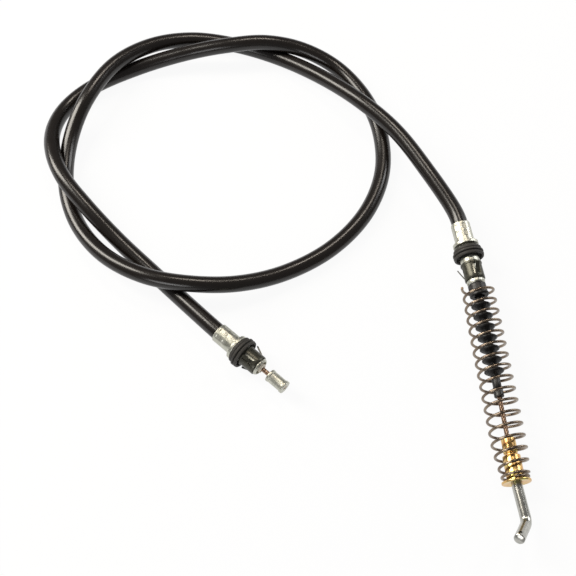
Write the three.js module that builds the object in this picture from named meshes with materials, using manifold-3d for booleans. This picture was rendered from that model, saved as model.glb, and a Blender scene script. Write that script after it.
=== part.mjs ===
// A parking brake cable lying in one and a half loose loops on a flat surface.
// Millimetres, +Z up. The origin is under the middle of the cable, on the surface it lies on.
// +X is the right of the loop and -Y the side where both end fittings point.
// The inner wire slides in the conduit, so the hook end and the button end move together.
import * as THREE from 'three';
import { mergeVertices } from 'three/addons/utils/BufferGeometryUtils.js';
import Module from 'manifold-3d';

// Conduit: a plastic jacket over a flat-wire spiral, which holds a plastic liner for the wire.
const JACKET_RADIUS = 5.5;
const JACKET_BORE = 4.55;
const ARMOUR_RADIUS = 4.0;
const ARMOUR_BORE = 3.1;
const LINER_RADIUS = 2.6;
const LINER_BORE = 1.9;
const WIRE_RADIUS = 1.5;
const JACKET_SIDES = 10;
const CORE_SIDES = 6;
const CONDUIT_STEPS = 70;
const ENGAGEMENT = 13; // how deep the conduit reaches into each ferrule
const GAP = 0.3; // between surfaces that touch

// Both fittings share one turned ferrule shape. Stations run from the mouth that the conduit enters.
const FERRULE_BORE = 5.8;
const FERRULE_RADIUS = 6.4;
const CRIMP_START = 4;
const CRIMP_END = 6.5;
const CRIMP_DEPTH = 0.25;
const CRIMP_SLOPE = 0.5;
const FLANGE_RADIUS = 8.5;
const FLANGE_START = 14.6;
const FLANGE_END = 16.8;
const NOSE_RADIUS = 5.6;
const NOSE_BORE = 4.7;
const COLLAR_RADIUS = 6.4;
const COLLAR_OVERLAP = 1.7; // how far the nose's collar reaches into the seal's mouth
const LIP_RADIUS = 6.0; // the rolled lip that keeps the retainer on
const LIP_BEVEL_LENGTH = 1;
const LIP_BEVEL_DEPTH = 0.8;
const SEAL_RADIUS = 10.25;
const SEAL_LENGTH = 6.6;
const SEAL_FIRST_RIB_DROP = 0.9; // the first rib is lower than the other two
const SEAL_GROOVE_DEPTH = 1.2;
const SEAL_RIB_PITCH = 2.3;
const SEAL_RIB_WIDTH = 1.1;
const SEAL_RIB_SLOPE = 0.4;
const SEAL_MOUTH_DEPTH = 3;
const SEAL_LIP_BEVEL = 0.4;
const SEAL_LIP_WALL = 1.6;
const SEAL_MOUTH_WALL = 2.2;
const RETAINER_RADIUS = 6.7;
const RETAINER_BORE = 5.9;
const RETAINER_RIM_HEIGHT = 0.4;
const RETAINER_RIM_LENGTH = 1;
const FINGER_COUNT = 3;
const FINGER_LENGTH = 8;
const FINGER_WIDTH = 2.4;
const FINGER_THICKNESS = 0.8;
const FINGER_ROOT = 0.4; // how far a finger runs into the tube behind it
const FINGER_ANGLE = 24; // degrees that each finger stands away from the retainer
const FINGER_HINGE = 2.6; // from the retainer's far end to where its fingers bend out
const FINGER_SINK = 0.1; // how far the middle of a finger's root lies below the tube's surface
const WINDOW_SIDE_ROOM = 1.2;
const WINDOW_END_ROOM = 0.4;

// Front fitting, with the button that the lever's linkage pulls.
const FRONT_MOUTH = new THREE.Vector3(-31.45, -53.93, 10.8);
const FRONT_HEADING = -41.6; // degrees from +X, seen from above
const FRONT_SEAL_START = 17.1;
const FRONT_RETAINER_START = 23.2;
const FRONT_RETAINER_LENGTH = 11.6;
const FRONT_FIRST_FINGER = 25; // degrees round the nose, from the top towards the left
const FRONT_NOSE_END = 36.9;
const LINER_TIP_END = 38.1;
const LINER_TIP_RADIUS = 3;
const LINER_TIP_FOOT = 4; // how deep the tip's foot lies in the nose
const LINER_TIP_FOOT_LENGTH = 2;
const BUTTON_START = 43.9;
const BUTTON_LENGTH = 13.1;
const BUTTON_RADIUS = 4.0;
const BUTTON_RIM_RADIUS = 4.3;
const BUTTON_RIM_LENGTH = 1.6;
const BUTTON_FLANGE_RADIUS = 4.4;
const BUTTON_FLANGE_LENGTH = 1.9;
const BUTTON_STEP_LENGTH = 0.3;
const BUTTON_COVER = 2; // how far the wire's end lies inside the button

// Rear fitting, with the rubber cap that closes its nose.
const REAR_MOUTH = new THREE.Vector3(128.69, 23.12, 14.56);
const REAR_HEADING = -80.3;
const REAR_DROP = 1.5; // degrees down towards the hook
const REAR_SEAL_START = 19.1;
const REAR_RETAINER_START = 29.9;
const REAR_RETAINER_LENGTH = 12;
const REAR_FIRST_FINGER = -12;
const REAR_NOSE_END = 44.9;
const CAP_LENGTH = 8.4;
const CAP_RADIUS = 5.9;
const CAP_LIP_RADIUS = 6.3;
const CAP_LIP_LENGTH = 1.8;
const CAP_LIP_STEP = 0.7;
const CAP_LIP_BEVEL = 0.6;
const CAP_BORE = 3.5;
const CAP_PLUG_LENGTH = 5;

// The rear wire leaves the cap on a line of its own, which crosses the fitting's axis inside the cap.
// Its stations run from that crossing.
const CROSSING = REAR_NOSE_END + 1.9;
const WIRE_HEADING = -84.1;
const WIRE_DROP = 1.1;
const WIRE_START = -10.5;

// Rubber boot round the rear wire, inside the spring: a neck in the cap, folds, and a cuff that grips the wire.
const BOOT_START = 1.5;
const BOOT_FIRST_FOLD = 13.4;
const BOOT_FOLD_PITCH = 7.54;
const BOOT_FOLDS = 7;
const BOOT_FOLD_RADIUS = 6.4;
const BOOT_FOLD_CREST = 1.2; // along the wire
const BOOT_NECK_RADIUS = 2.7;
const BOOT_WALL = 0.8;
const BOOT_CUFF_START = 69;
const BOOT_CUFF_RADIUS = 3.1;
const BOOT_CUFF_STEP = 0.5;
const BOOT_END = 75.7;

// Return spring and the stepped seat that it presses on.
const SPRING_WIRE = 0.9;
const SPRING_START = -0.5;
const SPRING_START_RADIUS = 9.85;
const SPRING_RADIUS = 10.3;
const SPRING_END_RADIUS = 7.85;
const SPRING_OPEN_TURNS = 16.6;
const SPRING_CLOSED_TURNS = 1.2;
const SPRING_CLOSED_PITCH = 2.2;
const SPRING_FLARE_TURNS = 4;
const SPRING_STEPS_PER_TURN = 10;
const SPRING_START_ANGLE = 180; // the cut end lies on the left, seen along the wire from above
const SEAT_START = 102;
const SEAT_BEVEL_LENGTH = 0.8;
const SEAT_BEVEL_DEPTH = 0.6;
const SEAT_NECK_RADIUS = 4.4;
const SEAT_NECK_LENGTH = 9.5;
const SEAT_GROOVE_RADIUS = 3.9;
const SEAT_GROOVE_LENGTH = 1.8;
const SEAT_GROOVE_SLOPE = 0.5;
const SEAT_BODY_RADIUS = 5.5;
const SEAT_FLANGE_START = 128.6;
const SEAT_FLANGE_THICKNESS = 1.4;
const SEAT_FLANGE_RADIUS = 9;
const SEAT_SOCKET_START = 118;
const ROD_START = 119;

// Hook rod: out of the seat, then leaning a little to the right, then bent up into a pin with a small cross hole.
const ROD_RADIUS = 3.3;
const ROD_LEAN_START = 133;
const ROD_LEAN = 1.2; // sideways at the bend
const ROD_BEND_STATION = 153.7;
const ROD_BEND_RADIUS = 7;
const PIN_LENGTH = 18.6;
const PIN_DIRECTION = new THREE.Vector3(-0.434, -0.656, 0.619).normalize();
const CROSS_HOLE_RADIUS = 1.1;
const CROSS_HOLE_INSET = 2.8;

// The conduit's centreline between the two ferrule mouths. It lies on the surface and passes over itself.
const ROUTE = [
  [-76.5, -9, 5.8],
  [-101.5, 14.5, 9],
  [-124.5, 38, 15.5],
  [-141.5, 59.5, 18],
  [-151.5, 83.5, 15],
  [-153.5, 105.8, 9.5],
  [-147.1, 126.1, 5.8],
  [-130.5, 143.5, 5.8],
  [-99, 161, 6],
  [-62.5, 170, 12],
  [-30.5, 173, 17.5],
  [-3, 175.5, 17.5],
  [23.5, 173, 12.5],
  [48.6, 161.2, 6.5],
  [68.3, 135.2, 5.8],
  [78.5, 105.5, 5.8],
  [79, 70.5, 5.8],
  [66.5, 37.5, 5.8],
  [42.5, 10, 5.8],
  [11.5, -9.2, 7.5],
  [-20, -19.9, 12.5],
  [-52.5, -22.2, 17.5],
  [-82, -16, 17.5],
  [-111, 3, 12],
  [-132.5, 32.5, 6],
  [-142, 64, 5.8],
  [-140.5, 97.5, 10],
  [-130.5, 125, 17.5],
  [-113, 155.5, 17.5],
  [-88, 177, 12.5],
  [-59, 186.5, 7.5],
  [-27.5, 183, 5.8],
  [4.1, 171.7, 5.8],
  [35.3, 150.5, 11],
  [63.5, 123.8, 17.5],
  [88.2, 97.2, 18],
  [109.9, 62.9, 16.5],
  [125.4, 34, 14.9],
];

const wasm = await Module();
wasm.setup();

const finish = (color, roughness, metalness) => new THREE.MeshStandardMaterial({ color, roughness, metalness });
const jacketPlastic = finish(0x141312, 0.22, 0);
const spiralSteel = finish(0x8d8f90, 0.4, 1);
const linerPlastic = finish(0xd8d2c2, 0.5, 0);
const wireSteel = finish(0x6b5a48, 0.45, 1);
const zincSteel = finish(0xb7b6a6, 0.38, 1);
const sealRubber = finish(0x22211e, 0.75, 0);
const darkSteel = finish(0x34342d, 0.5, 1);
const capRubber = finish(0x181716, 0.6, 0);
const springSteel = finish(0x6a5a4a, 0.35, 1);
const yellowZinc = finish(0xc29a4c, 0.32, 1);
const rodSteel = finish(0xa9a79f, 0.28, 1);

const part = new THREE.Group();

function addPiece(parent, name, geometry, material) {
  const mesh = new THREE.Mesh(geometry, material);
  mesh.name = name;
  parent.add(mesh);
  return mesh;
}

// A unit vector from its heading seen from above and how far it points down, both in degrees.
function direction(heading, drop) {
  const turn = THREE.MathUtils.degToRad(heading);
  const dip = THREE.MathUtils.degToRad(drop);
  return new THREE.Vector3(Math.cos(turn) * Math.cos(dip), Math.sin(turn) * Math.cos(dip), -Math.sin(dip));
}

// A group whose +Z runs along an axis from a point, with its +Y as near to the part's +Z as it can be.
function axisGroup(origin, axis) {
  const side = new THREE.Vector3().crossVectors(new THREE.Vector3(0, 0, 1), axis).normalize();
  const up = new THREE.Vector3().crossVectors(axis, side);
  const group = new THREE.Group();
  group.position.copy(origin);
  group.quaternion.setFromRotationMatrix(new THREE.Matrix4().makeBasis(side, up, axis));
  part.add(group);
  return group;
}

// A solid of revolution about Z from an outline of [radius, station] points.
// The outline starts at the inner radius of its first station and goes round anticlockwise.
function turned(outline, segments = 20) {
  const points = [...outline, outline[0]].map(([radius, station]) => new THREE.Vector2(radius, station));
  return new THREE.LatheGeometry(points, segments).rotateX(Math.PI / 2);
}

// A turned tube of one bore, from stations of [outer radius, station].
function turnedTube(bore, profile, segments) {
  const first = profile[0][1];
  const last = profile[profile.length - 1][1];
  return turned([[bore, first], ...profile, [bore, last]], segments);
}

function straightWire(start, end) {
  return turned([[0, start], [WIRE_RADIUS, start], [WIRE_RADIUS, end], [0, end]], 10);
}

function regularPolygon(radius, sides) {
  return Array.from({ length: sides }, (_, side) => {
    const angle = (2 * Math.PI * side) / sides;
    return new THREE.Vector2(radius * Math.cos(angle), radius * Math.sin(angle));
  });
}

// A round bar, or a tube if it has a bore, along a curve.
function swept(curve, steps, radius, sides, bore = 0) {
  const section = new THREE.Shape(regularPolygon(radius, sides));
  if (bore > 0) {
    section.holes.push(new THREE.Path(regularPolygon(bore, CORE_SIDES)));
  }
  return new THREE.ExtrudeGeometry(section, { steps, extrudePath: curve, bevelEnabled: false });
}

function toSolid(geometry) {
  const plain = geometry.clone();
  plain.deleteAttribute('normal');
  plain.deleteAttribute('uv');
  const merged = mergeVertices(plain, 1e-4);
  const vertProperties = new Float32Array(merged.attributes.position.array);
  const triVerts = new Uint32Array(merged.index.array);
  return new wasm.Manifold(new wasm.Mesh({ numProp: 3, vertProperties, triVerts }));
}

function toGeometry(solid) {
  const { numProp, vertProperties, triVerts } = solid.getMesh();
  const positions = [];
  for (let start = 0; start < vertProperties.length; start += numProp) {
    positions.push(...vertProperties.slice(start, start + 3));
  }
  const geometry = new THREE.BufferGeometry();
  geometry.setAttribute('position', new THREE.Float32BufferAttribute(positions, 3));
  geometry.setIndex(Array.from(triVerts));
  geometry.computeVertexNormals();
  return geometry;
}

// The crimped ferrule, its flange and the hollow nose that the seal and the retainer sit on.
function ferrule(collarStart, collarEnd, lipStart, noseEnd) {
  const crimpRadius = FERRULE_RADIUS - CRIMP_DEPTH;
  const boreEnd = ENGAGEMENT + 2 * GAP;
  return turned([
    [FERRULE_BORE, 0],
    [FERRULE_RADIUS, 0],
    [FERRULE_RADIUS, CRIMP_START],
    [crimpRadius, CRIMP_START + CRIMP_SLOPE],
    [crimpRadius, CRIMP_END - CRIMP_SLOPE],
    [FERRULE_RADIUS, CRIMP_END],
    [FERRULE_RADIUS, FLANGE_START],
    [FLANGE_RADIUS, FLANGE_START],
    [FLANGE_RADIUS, FLANGE_END],
    [NOSE_RADIUS, FLANGE_END],
    [NOSE_RADIUS, collarStart],
    [COLLAR_RADIUS, collarStart],
    [COLLAR_RADIUS, collarEnd],
    [NOSE_RADIUS, collarEnd],
    [NOSE_RADIUS, lipStart],
    [LIP_RADIUS, lipStart],
    [LIP_RADIUS, noseEnd - LIP_BEVEL_LENGTH],
    [LIP_RADIUS - LIP_BEVEL_DEPTH, noseEnd],
    [NOSE_BORE, noseEnd],
    [NOSE_BORE, boreEnd],
    [FERRULE_BORE, boreEnd],
  ]);
}

// The rubber seal: three ribs with two grooves between them, and a cup-shaped mouth at its far end.
function seal(start) {
  const groove = SEAL_RADIUS - SEAL_GROOVE_DEPTH;
  const end = start + SEAL_LENGTH;
  const mouth = end - SEAL_MOUTH_DEPTH;
  const firstRib = SEAL_RADIUS - SEAL_FIRST_RIB_DROP;
  const lastRibStart = start + 2 * SEAL_RIB_PITCH;
  const ribs = [firstRib, SEAL_RADIUS].flatMap((radius, rib) => {
    const foot = start + rib * SEAL_RIB_PITCH;
    return [
      [groove, foot],
      [radius, foot + SEAL_RIB_SLOPE],
      [radius, foot + SEAL_RIB_SLOPE + SEAL_RIB_WIDTH],
      [groove, foot + 2 * SEAL_RIB_SLOPE + SEAL_RIB_WIDTH],
    ];
  });
  return turned([
    [RETAINER_BORE, start],
    ...ribs,
    [groove, lastRibStart],
    [SEAL_RADIUS, lastRibStart + SEAL_RIB_SLOPE],
    [SEAL_RADIUS - SEAL_LIP_BEVEL, end],
    [SEAL_RADIUS - SEAL_LIP_WALL, end],
    [SEAL_RADIUS - SEAL_MOUTH_WALL, mouth],
    [RETAINER_BORE, mouth],
  ]);
}

// The snap retainer: a thin steel tube with windows, and in each a finger that springs outwards.
function retainer(start, length, firstAngle) {
  const end = start + length;
  const hinge = end - FINGER_HINGE;
  const tilt = THREE.MathUtils.degToRad(FINGER_ANGLE);
  const windowWidth = FINGER_WIDTH + 2 * WINDOW_SIDE_ROOM;
  const windowLength = FINGER_LENGTH * Math.cos(tilt) + WINDOW_END_ROOM;
  const cutDepth = 4 * (RETAINER_RADIUS - RETAINER_BORE);
  const rimRadius = RETAINER_RADIUS + RETAINER_RIM_HEIGHT;
  let body = toSolid(turned([
    [RETAINER_BORE, start],
    [rimRadius, start],
    [rimRadius, start + RETAINER_RIM_LENGTH],
    [RETAINER_RADIUS, start + RETAINER_RIM_LENGTH + RETAINER_RIM_HEIGHT],
    [RETAINER_RADIUS, end],
    [RETAINER_BORE, end],
  ]));
  for (let finger = 0; finger < FINGER_COUNT; finger += 1) {
    const angle = THREE.MathUtils.degToRad(firstAngle + (360 * finger) / FINGER_COUNT);
    const opening = new THREE.BoxGeometry(windowWidth, cutDepth, windowLength);
    opening.translate(0, RETAINER_RADIUS, hinge - windowLength / 2);
    opening.rotateZ(angle);
    const strip = new THREE.BoxGeometry(FINGER_WIDTH, FINGER_THICKNESS, FINGER_LENGTH + FINGER_ROOT);
    strip.translate(0, 0, (FINGER_ROOT - FINGER_LENGTH) / 2);
    strip.rotateX(tilt);
    strip.translate(0, RETAINER_RADIUS - FINGER_SINK, hinge);
    strip.rotateZ(angle);
    body = body.subtract(toSolid(opening)).add(toSolid(strip));
  }
  return toGeometry(body);
}

// The boot: its folds swell out in cones from the neck's radius to a short crest each.
function wireBoot() {
  const halfCrest = BOOT_FOLD_CREST / 2;
  const outside = [[BOOT_NECK_RADIUS, BOOT_START]];
  for (let fold = 0; fold < BOOT_FOLDS; fold += 1) {
    const middle = BOOT_FIRST_FOLD + fold * BOOT_FOLD_PITCH;
    outside.push(
      [BOOT_NECK_RADIUS, middle - BOOT_FOLD_PITCH / 2],
      [BOOT_FOLD_RADIUS, middle - halfCrest],
      [BOOT_FOLD_RADIUS, middle + halfCrest],
    );
  }
  const lastFold = BOOT_FIRST_FOLD + (BOOT_FOLDS - 1) * BOOT_FOLD_PITCH;
  outside.push([BOOT_NECK_RADIUS, lastFold + BOOT_FOLD_PITCH / 2], [BOOT_NECK_RADIUS, BOOT_CUFF_START]);
  const inside = outside.map(([radius, station]) => [radius - BOOT_WALL, station]).reverse();
  return turned([
    ...outside,
    [BOOT_CUFF_RADIUS, BOOT_CUFF_START + BOOT_CUFF_STEP],
    [BOOT_CUFF_RADIUS, BOOT_END],
    [BOOT_NECK_RADIUS - BOOT_WALL, BOOT_END],
    ...inside,
  ], 16);
}

// The spring's centreline along +Z: open turns, then nearly closed ones that narrow onto the seat.
class SpringCurve extends THREE.Curve {
  constructor() {
    super();
    this.turns = SPRING_OPEN_TURNS + SPRING_CLOSED_TURNS;
    this.closedLength = SPRING_CLOSED_TURNS * SPRING_CLOSED_PITCH;
    this.end = SEAT_FLANGE_START - GAP - SPRING_WIRE;
    this.openLength = this.end - SPRING_START - this.closedLength;
  }

  station(turn) {
    if (turn < SPRING_OPEN_TURNS) {
      return SPRING_START + (this.openLength * turn) / SPRING_OPEN_TURNS;
    }
    return SPRING_START + this.openLength + (turn - SPRING_OPEN_TURNS) * SPRING_CLOSED_PITCH;
  }

  radius(turn) {
    const opening = THREE.MathUtils.smoothstep(turn, 0, SPRING_FLARE_TURNS);
    const closing = THREE.MathUtils.smoothstep(turn, this.turns - SPRING_FLARE_TURNS, this.turns);
    const wide = THREE.MathUtils.lerp(SPRING_START_RADIUS, SPRING_RADIUS, opening);
    return THREE.MathUtils.lerp(wide, SPRING_END_RADIUS, closing);
  }

  getPoint(t, target = new THREE.Vector3()) {
    const turn = t * this.turns;
    const angle = THREE.MathUtils.degToRad(SPRING_START_ANGLE) + 2 * Math.PI * turn;
    const radius = this.radius(turn);
    return target.set(radius * Math.cos(angle), radius * Math.sin(angle), this.station(turn));
  }
}

// The rod's centreline in its own group: straight, leaning, one bend, then the pin.
const rodBend = new THREE.Vector3(ROD_LEAN, 0, ROD_BEND_STATION);

function rodCurve(pinAxis) {
  const start = new THREE.Vector3(0, 0, ROD_START);
  const leanStart = new THREE.Vector3(0, 0, ROD_LEAN_START);
  const bend = rodBend;
  const along = bend.clone().sub(leanStart).normalize();
  const setBack = ROD_BEND_RADIUS * Math.tan(along.angleTo(pinAxis) / 2);
  const bendStart = bend.clone().addScaledVector(along, -setBack);
  const bendEnd = bend.clone().addScaledVector(pinAxis, setBack);
  const pinEnd = bend.clone().addScaledVector(pinAxis, PIN_LENGTH);
  const path = new THREE.CurvePath();
  path.add(new THREE.LineCurve3(start, leanStart));
  path.add(new THREE.LineCurve3(leanStart, bendStart));
  path.add(new THREE.QuadraticBezierCurve3(bendStart, bend, bendEnd));
  path.add(new THREE.LineCurve3(bendEnd, pinEnd));
  return path;
}

function hookRod(pinAxis) {
  const rod = toSolid(swept(rodCurve(pinAxis), 24, ROD_RADIUS, 12));
  const hole = new THREE.CylinderGeometry(CROSS_HOLE_RADIUS, CROSS_HOLE_RADIUS, 4 * ROD_RADIUS, 10);
  const across = new THREE.Vector3(1, 0, 0).cross(pinAxis).normalize();
  hole.applyQuaternion(new THREE.Quaternion().setFromUnitVectors(new THREE.Vector3(0, 1, 0), across));
  const centre = rodBend.clone().addScaledVector(pinAxis, PIN_LENGTH - CROSS_HOLE_INSET);
  hole.translate(centre.x, centre.y, centre.z);
  return toGeometry(rod.subtract(toSolid(hole)));
}

const frontAxis = direction(FRONT_HEADING, 0);
const rearAxis = direction(REAR_HEADING, REAR_DROP);
const wireAxis = direction(WIRE_HEADING, WIRE_DROP);
const crossing = REAR_MOUTH.clone().addScaledVector(rearAxis, CROSSING);

// The conduit runs from inside one ferrule to inside the other.
const route = new THREE.CatmullRomCurve3([
  FRONT_MOUTH.clone().addScaledVector(frontAxis, ENGAGEMENT),
  FRONT_MOUTH,
  ...ROUTE.map((point) => new THREE.Vector3(...point)),
  REAR_MOUTH,
  REAR_MOUTH.clone().addScaledVector(rearAxis, ENGAGEMENT),
]);
const alongRoute = (radius, sides, bore) => swept(route, CONDUIT_STEPS, radius, sides, bore);
addPiece(part, 'conduit_jacket', alongRoute(JACKET_RADIUS, JACKET_SIDES, JACKET_BORE), jacketPlastic);
addPiece(part, 'conduit_armour', alongRoute(ARMOUR_RADIUS, CORE_SIDES, ARMOUR_BORE), spiralSteel);
addPiece(part, 'conduit_liner', alongRoute(LINER_RADIUS, CORE_SIDES, LINER_BORE), linerPlastic);
addPiece(part, 'inner_wire', alongRoute(WIRE_RADIUS, CORE_SIDES), wireSteel);

// Front fitting.
const front = axisGroup(FRONT_MOUTH, frontAxis);
const frontCollar = FRONT_SEAL_START + SEAL_LENGTH - COLLAR_OVERLAP;
const frontCollarEnd = FRONT_RETAINER_START - GAP;
const frontLip = FRONT_RETAINER_START + FRONT_RETAINER_LENGTH + GAP;
addPiece(front, 'front_ferrule', ferrule(frontCollar, frontCollarEnd, frontLip, FRONT_NOSE_END), zincSteel);
addPiece(front, 'front_seal', seal(FRONT_SEAL_START), sealRubber);
addPiece(front, 'front_retainer', retainer(FRONT_RETAINER_START, FRONT_RETAINER_LENGTH, FRONT_FIRST_FINGER), darkSteel);
const tipFoot = FRONT_NOSE_END - LINER_TIP_FOOT;
const plugRadius = NOSE_BORE - GAP;
addPiece(front, 'front_liner_tip', turnedTube(LINER_BORE, [
  [plugRadius, tipFoot],
  [plugRadius, tipFoot + LINER_TIP_FOOT_LENGTH],
  [LINER_TIP_RADIUS, tipFoot + LINER_TIP_FOOT_LENGTH],
  [LINER_TIP_RADIUS, LINER_TIP_END],
], 16), linerPlastic);
const buttonEnd = BUTTON_START + BUTTON_LENGTH;
addPiece(front, 'front_wire', straightWire(ENGAGEMENT + 1, buttonEnd - BUTTON_COVER), wireSteel);
const rimEnd = BUTTON_START + BUTTON_RIM_LENGTH;
const flangeFoot = buttonEnd - BUTTON_FLANGE_LENGTH;
addPiece(front, 'wire_button', turnedTube(WIRE_RADIUS + GAP, [
  [BUTTON_RIM_RADIUS, BUTTON_START],
  [BUTTON_RIM_RADIUS, rimEnd],
  [BUTTON_RADIUS, rimEnd + BUTTON_STEP_LENGTH],
  [BUTTON_RADIUS, flangeFoot - BUTTON_STEP_LENGTH],
  [BUTTON_FLANGE_RADIUS, flangeFoot],
  [BUTTON_FLANGE_RADIUS, buttonEnd],
]), rodSteel);

// Rear fitting.
const rear = axisGroup(REAR_MOUTH, rearAxis);
const rearCollar = REAR_SEAL_START + SEAL_LENGTH - COLLAR_OVERLAP;
const rearCollarEnd = REAR_RETAINER_START - GAP;
const rearLip = REAR_RETAINER_START + REAR_RETAINER_LENGTH + GAP;
addPiece(rear, 'rear_ferrule', ferrule(rearCollar, rearCollarEnd, rearLip, REAR_NOSE_END), zincSteel);
addPiece(rear, 'rear_seal', seal(REAR_SEAL_START), sealRubber);
addPiece(rear, 'rear_retainer', retainer(REAR_RETAINER_START, REAR_RETAINER_LENGTH, REAR_FIRST_FINGER), darkSteel);
const capStart = REAR_NOSE_END + GAP;
const capEnd = capStart + CAP_LENGTH;
const capLip = capEnd - CAP_LIP_LENGTH;
addPiece(rear, 'rear_cap', turnedTube(CAP_BORE, [
  [plugRadius, capStart - CAP_PLUG_LENGTH],
  [plugRadius, capStart],
  [CAP_RADIUS, capStart],
  [CAP_RADIUS, capLip - CAP_LIP_STEP],
  [CAP_LIP_RADIUS, capLip],
  [CAP_LIP_RADIUS, capEnd - CAP_LIP_BEVEL],
  [CAP_LIP_RADIUS - CAP_LIP_BEVEL, capEnd],
]), capRubber);

// What the wire pulls at the rear.
const hookEnd = axisGroup(crossing, wireAxis);
addPiece(hookEnd, 'rear_wire', straightWire(WIRE_START, SEAT_SOCKET_START), wireSteel);
addPiece(hookEnd, 'wire_boot', wireBoot(), capRubber);
const springCurve = new SpringCurve();
const springSteps = Math.round(springCurve.turns * SPRING_STEPS_PER_TURN);
addPiece(hookEnd, 'return_spring', swept(springCurve, springSteps, SPRING_WIRE, 5), springSteel);
const grooveStart = SEAT_START + SEAT_NECK_LENGTH;
const bodyStart = grooveStart + SEAT_GROOVE_LENGTH;
const flangeEnd = SEAT_FLANGE_START + SEAT_FLANGE_THICKNESS;
const socketRadius = ROD_RADIUS + GAP;
addPiece(hookEnd, 'spring_seat', turned([
  [WIRE_RADIUS + GAP, SEAT_START],
  [SEAT_NECK_RADIUS - SEAT_BEVEL_DEPTH, SEAT_START],
  [SEAT_NECK_RADIUS, SEAT_START + SEAT_BEVEL_LENGTH],
  [SEAT_NECK_RADIUS, grooveStart],
  [SEAT_GROOVE_RADIUS, grooveStart + SEAT_GROOVE_SLOPE],
  [SEAT_GROOVE_RADIUS, bodyStart - SEAT_GROOVE_SLOPE],
  [SEAT_BODY_RADIUS, bodyStart],
  [SEAT_BODY_RADIUS, SEAT_FLANGE_START],
  [SEAT_FLANGE_RADIUS, SEAT_FLANGE_START],
  [SEAT_FLANGE_RADIUS, flangeEnd],
  [socketRadius, flangeEnd],
  [socketRadius, SEAT_SOCKET_START + GAP],
  [WIRE_RADIUS + GAP, SEAT_SOCKET_START + GAP],
]), yellowZinc);
hookEnd.updateMatrixWorld(true);
const pinAxis = PIN_DIRECTION.clone().transformDirection(hookEnd.matrixWorld.clone().invert());
addPiece(hookEnd, 'hook_rod', hookRod(pinAxis), rodSteel);

export default part;
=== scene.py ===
import math

import bmesh
import bpy
from mathutils import Matrix, Vector


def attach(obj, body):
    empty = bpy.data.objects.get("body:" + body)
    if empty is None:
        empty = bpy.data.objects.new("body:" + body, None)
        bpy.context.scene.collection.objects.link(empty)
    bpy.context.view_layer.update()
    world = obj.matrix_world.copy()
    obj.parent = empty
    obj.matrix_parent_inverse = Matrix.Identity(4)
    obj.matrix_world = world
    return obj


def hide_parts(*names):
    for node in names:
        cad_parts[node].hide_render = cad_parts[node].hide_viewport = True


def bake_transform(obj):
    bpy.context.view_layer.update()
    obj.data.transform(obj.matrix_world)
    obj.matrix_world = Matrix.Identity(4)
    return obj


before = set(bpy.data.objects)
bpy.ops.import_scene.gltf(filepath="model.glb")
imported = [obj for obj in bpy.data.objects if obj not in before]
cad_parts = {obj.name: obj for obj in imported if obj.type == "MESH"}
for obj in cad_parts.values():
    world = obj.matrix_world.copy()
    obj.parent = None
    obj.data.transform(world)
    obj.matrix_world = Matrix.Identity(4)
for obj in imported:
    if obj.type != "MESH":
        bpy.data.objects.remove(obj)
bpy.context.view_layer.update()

# Places and sizes are in millimetres along each fitting, as in the part's source.
MM = 0.001

# Conduit and wire.
JACKET_RADIUS = 5.5
WIRE_RADIUS = 1.5
ENGAGEMENT = 13  # how deep the conduit reaches into each ferrule
GAP = 0.3  # between surfaces that touch
WIRE_GAP = 0.15  # round the wire, where something grips it
ROUTE_STEPS = 14

# Both fittings. Stations run from the mouth that the conduit enters.
FERRULE_BORE = 5.75
FERRULE_RADIUS = 6.4
FERRULE_BORE_END = ENGAGEMENT + 0.5
FERRULE_EDGE = 0.1
FERRULE_WALL_STEP = 0.35  # between the rings of vertices that the crimp dents
CRIMP_ROWS = [(1.8, 6.2), (7.0, 11.2)]
CRIMP_SLOPE = 0.6
CRIMP_DEPTH = 0.2
CRIMP_JAWS = 8
CRIMP_TURN = 0.6  # radians
FLANGE_RADIUS = 8.5
FLANGE_START = 14.6
FLANGE_END = 16.8
NOSE_RADIUS = 5.6
NOSE_BORE = 4.7
COLLAR_RADIUS = 6.4
COLLAR_OVERLAP = 1.7
LIP_RADIUS = 6.0
LIP_BEVEL_LENGTH = 1
LIP_BEVEL_DEPTH = 0.8
SEAL_RADIUS = 10.25
SEAL_LENGTH = 6.6
SEAL_BORE = 5.9
SEAL_GROOVE_DEPTH = 1.2
SEAL_FIRST_RIB_DROP = 0.9  # the first rib is lower than the other two
SEAL_RIB_PITCH = 2.3
SEAL_RIB_WIDTH = 1.1
SEAL_RIB_SLOPE = 0.4
SEAL_MOUTH_DEPTH = 3
SEAL_LIP_BEVEL = 0.4
SEAL_LIP_WALL = 1.6
SEAL_MOUTH_WALL = 2.2
RETAINER_RADIUS = 6.7
RETAINER_WALL = 0.7
RETAINER_RIM = 0.4
RETAINER_RIM_LENGTH = 1
RETAINER_EDGE_DEPTH = 0.2
RETAINER_EDGE_LENGTH = 0.3
RETAINER_COLUMNS = 120
FINGER_COUNT = 3
FINGER_LENGTH = 8
FINGER_WIDTH = 2.4
FINGER_THICKNESS = 0.55
FINGER_HINGE = 2.6
FINGER_ANGLE = 24
FINGER_ROOT = 0.5  # how far a finger runs into the tube behind it
FINGER_SINK = 0.1
FINGER_STEPS = 12
WINDOW_WIDTH = 4.8
WINDOW_END_ROOM = 0.4
WINDOW_CORNER = 0.6

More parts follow.
